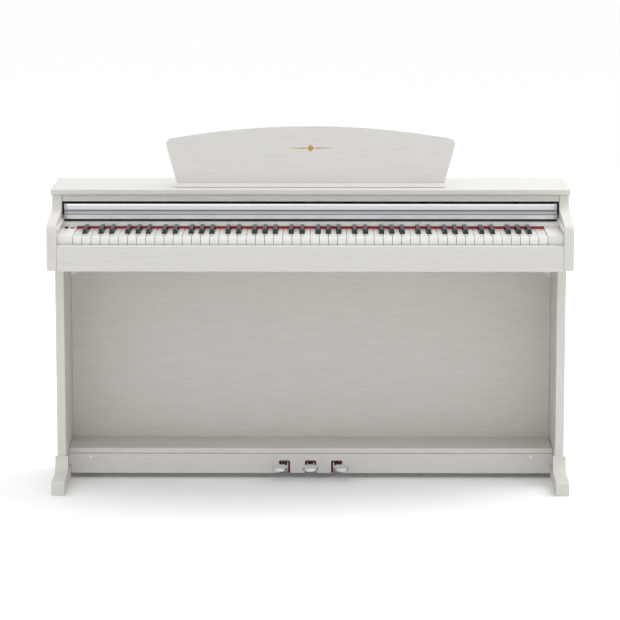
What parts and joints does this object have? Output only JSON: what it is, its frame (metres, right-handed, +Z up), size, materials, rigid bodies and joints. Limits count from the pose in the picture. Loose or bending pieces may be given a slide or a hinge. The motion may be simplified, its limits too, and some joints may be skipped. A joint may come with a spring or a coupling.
{
  "type": "digital piano on stand",
  "caption": "Upright-cabinet digital piano: weighted keyboard between side arms, sliding key cover, folding music rest, side legs with feet, and a pedal box.",
  "frame": {"origin": "on the floor, in the middle of the piano's width and depth", "axes": "+X to the player's right, +Y to the back, +Z up; the keyboard faces -Y"},
  "size_m": [1.3644, 0.43, 0.9501],
  "materials": {
    "wood": "white wood-grain foil",
    "key_white": "polished",
    "key_black": "matt",
    "aluminium": "satin extruded",
    "grey_plastic": "moulded",
    "black_plastic": "moulded",
    "red_felt": "wool felt",
    "steel": "zinc plated",
    "chrome": "polished",
    "circuit_board": "solder mask",
    "speaker": "paper cone and painted frame"
  },
  "bodies": {
    "cabinet": {"side_arm_left": "wood", "side_arm_right": "wood", "top_lid": "wood", "cabinet_back_panel": "wood", "key_bed": "wood", "key_slip": "wood", "fascia_board": "wood", "cover_track_left": "black_plastic", "cover_track_right": "black_plastic", "name_rail": "wood", "felt_strip": "red_felt", "cheek_block_left": "key_white", "cheek_block_right": "key_white", "key_frame": "steel", "main_board": "circuit_board", "speaker_left": "speaker", "speaker_right": "speaker", "jack_panel": "black_plastic", "music_rest_hinge_left": "steel", "music_rest_hinge_right": "steel", "leg_left": "wood", "leg_right": "wood", "foot_left": "wood", "foot_right": "wood", "modesty_panel": "wood", "pedal_box_top": "wood", "pedal_box_front": "wood", "pedal_frame": "steel", "pedal_axle": "steel", "corner_bracket_left": "grey_plastic", "corner_bracket_right": "grey_plastic"},
    "key_cover": {"key_cover_front_bar": "aluminium", "key_cover_end_cap_left": "grey_plastic", "key_cover_end_cap_right": "grey_plastic", "key_cover_board": "wood"},
    "music_rest": {"music_rest_board": "wood", "music_rest_ledge": "wood", "music_rest_leaf_left": "steel", "music_rest_leaf_right": "steel"},
    "power_button": {"power_button": "grey_plastic"},
    "volume_slider": {"volume_slider": "grey_plastic"},
    "pedal_left": {"pedal_left": "chrome"},
    "pedal_middle": {"pedal_middle": "chrome"},
    "pedal_right": {"pedal_right": "chrome"},
    "white_keys_bass": {"white_keys_bass": "key_white"},
    "white_keys_treble": {"white_keys_treble": "key_white"},
    "black_keys_bass": {"black_keys_bass": "key_black"},
    "black_keys_treble": {"black_keys_treble": "key_black"},
    "white_key_c": {"white_key_c": "key_white"},
    "white_key_d": {"white_key_d": "key_white"},
    "white_key_e": {"white_key_e": "key_white"},
    "white_key_f": {"white_key_f": "key_white"},
    "white_key_g": {"white_key_g": "key_white"},
    "white_key_a": {"white_key_a": "key_white"},
    "white_key_b": {"white_key_b": "key_white"},
    "black_key_c_sharp": {"black_key_c_sharp": "key_black"},
    "black_key_d_sharp": {"black_key_d_sharp": "key_black"},
    "black_key_f_sharp": {"black_key_f_sharp": "key_black"},
    "black_key_g_sharp": {"black_key_g_sharp": "key_black"},
    "black_key_a_sharp": {"black_key_a_sharp": "key_black"}
  },
  "joints": [
    {"name": "key_cover_slide", "type": "slide", "parent": "cabinet", "child": "key_cover", "axis": [0, -1, 0], "range_m": [0, 0.165]},
    {"name": "music_rest_fold", "type": "hinge", "parent": "cabinet", "child": "music_rest", "pos_m": [0, 0.03765, 0.7981], "axis": [-1, 0, 0], "range_deg": [0, 75]},
    {"name": "pedal_left_press", "type": "hinge", "parent": "cabinet", "child": "pedal_left", "pos_m": [-0.07, 0.1085, 0.039], "axis": [1, 0, 0], "range_deg": [0, 6], "stiffness_Nm_per_rad": 25, "springref_deg": -2.86},
    {"name": "pedal_middle_press", "type": "hinge", "parent": "cabinet", "child": "pedal_middle", "pos_m": [0, 0.1085, 0.039], "axis": [1, 0, 0], "range_deg": [0, 6], "stiffness_Nm_per_rad": 25, "springref_deg": -2.86},
    {"name": "pedal_right_press", "type": "hinge", "parent": "cabinet", "child": "pedal_right", "pos_m": [0.07, 0.1085, 0.039], "axis": [1, 0, 0], "range_deg": [0, 6], "stiffness_Nm_per_rad": 25, "springref_deg": -2.86},
    {"name": "power_button_press", "type": "slide", "parent": "cabinet", "child": "power_button", "axis": [0, 0, -1], "range_m": [0, 0.0014], "stiffness_N_per_m": 600, "springref_m": -0.002},
    {"name": "volume_slide", "type": "slide", "parent": "cabinet", "child": "volume_slider", "axis": [0, 1, 0], "range_m": [-0.005, 0.005]},
    {"name": "white_keys_bass_press", "type": "hinge", "parent": "cabinet", "child": "white_keys_bass", "pos_m": [0, 0.021, 0.6685], "axis": [1, 0, 0], "range_deg": [0, 2.6], "stiffness_Nm_per_rad": 20.7, "springref_deg": -11.46},
    {"name": "white_keys_treble_press", "type": "hinge", "parent": "cabinet", "child": "white_keys_treble", "pos_m": [0, 0.021, 0.6685], "axis": [1, 0, 0], "range_deg": [0, 2.6], "stiffness_Nm_per_rad": 19.8, "springref_deg": -11.46},
    {"name": "white_key_c_press", "type": "hinge", "parent": "cabinet", "child": "white_key_c", "pos_m": [0, 0.021, 0.6685], "axis": [1, 0, 0], "range_deg": [0, 2.6], "stiffness_Nm_per_rad": 0.9, "springref_deg": -11.46},
    {"name": "white_key_d_press", "type": "hinge", "parent": "cabinet", "child": "white_key_d", "pos_m": [0, 0.021, 0.6685], "axis": [1, 0, 0], "range_deg": [0, 2.6], "stiffness_Nm_per_rad": 0.9, "springref_deg": -11.46},
    {"name": "white_key_e_press", "type": "hinge", "parent": "cabinet", "child": "white_key_e", "pos_m": [0, 0.021, 0.6685], "axis": [1, 0, 0], "range_deg": [0, 2.6], "stiffness_Nm_per_rad": 0.9, "springref_deg": -11.46},
    {"name": "white_key_f_press", "type": "hinge", "parent": "cabinet", "child": "white_key_f", "pos_m": [0, 0.021, 0.6685], "axis": [1, 0, 0], "range_deg": [0, 2.6], "stiffness_Nm_per_rad": 0.9, "springref_deg": -11.46},
    {"name": "white_key_g_press", "type": "hinge", "parent": "cabinet", "child": "white_key_g", "pos_m": [0, 0.021, 0.6685], "axis": [1, 0, 0], "range_deg": [0, 2.6], "stiffness_Nm_per_rad": 0.9, "springref_deg": -11.46},
    {"name": "white_key_a_press", "type": "hinge", "parent": "cabinet", "child": "white_key_a", "pos_m": [0, 0.021, 0.6685], "axis": [1, 0, 0], "range_deg": [0, 2.6], "stiffness_Nm_per_rad": 0.9, "springref_deg": -11.46},
    {"name": "white_key_b_press", "type": "hinge", "parent": "cabinet", "child": "white_key_b", "pos_m": [0, 0.021, 0.6685], "axis": [1, 0, 0], "range_deg": [0, 2.6], "stiffness_Nm_per_rad": 0.9, "springref_deg": -11.46},
    {"name": "black_keys_bass_press", "type": "hinge", "parent": "cabinet", "child": "black_keys_bass", "pos_m": [0, 0.007, 0.6685], "axis": [1, 0, 0], "range_deg": [0, 2.8], "stiffness_Nm_per_rad": 8, "springref_deg": -11.46},
    {"name": "black_keys_treble_press", "type": "hinge", "parent": "cabinet", "child": "black_keys_treble", "pos_m": [0, 0.007, 0.6685], "axis": [1, 0, 0], "range_deg": [0, 2.8], "stiffness_Nm_per_rad": 7.5, "springref_deg": -11.46},
    {"name": "black_key_c_sharp_press", "type": "hinge", "parent": "cabinet", "child": "black_key_c_sharp", "pos_m": [0, 0.007, 0.6685], "axis": [1, 0, 0], "range_deg": [0, 2.8], "stiffness_Nm_per_rad": 0.5, "springref_deg": -11.46},
    {"name": "black_key_d_sharp_press", "type": "hinge", "parent": "cabinet", "child": "black_key_d_sharp", "pos_m": [0, 0.007, 0.6685], "axis": [1, 0, 0], "range_deg": [0, 2.8], "stiffness_Nm_per_rad": 0.5, "springref_deg": -11.46},
    {"name": "black_key_f_sharp_press", "type": "hinge", "parent": "cabinet", "child": "black_key_f_sharp", "pos_m": [0, 0.007, 0.6685], "axis": [1, 0, 0], "range_deg": [0, 2.8], "stiffness_Nm_per_rad": 0.5, "springref_deg": -11.46},
    {"name": "black_key_g_sharp_press", "type": "hinge", "parent": "cabinet", "child": "black_key_g_sharp", "pos_m": [0, 0.007, 0.6685], "axis": [1, 0, 0], "range_deg": [0, 2.8], "stiffness_Nm_per_rad": 0.5, "springref_deg": -11.46},
    {"name": "black_key_a_sharp_press", "type": "hinge", "parent": "cabinet", "child": "black_key_a_sharp", "pos_m": [0, 0.007, 0.6685], "axis": [1, 0, 0], "range_deg": [0, 2.8], "stiffness_Nm_per_rad": 0.5, "springref_deg": -11.46}
  ]
}
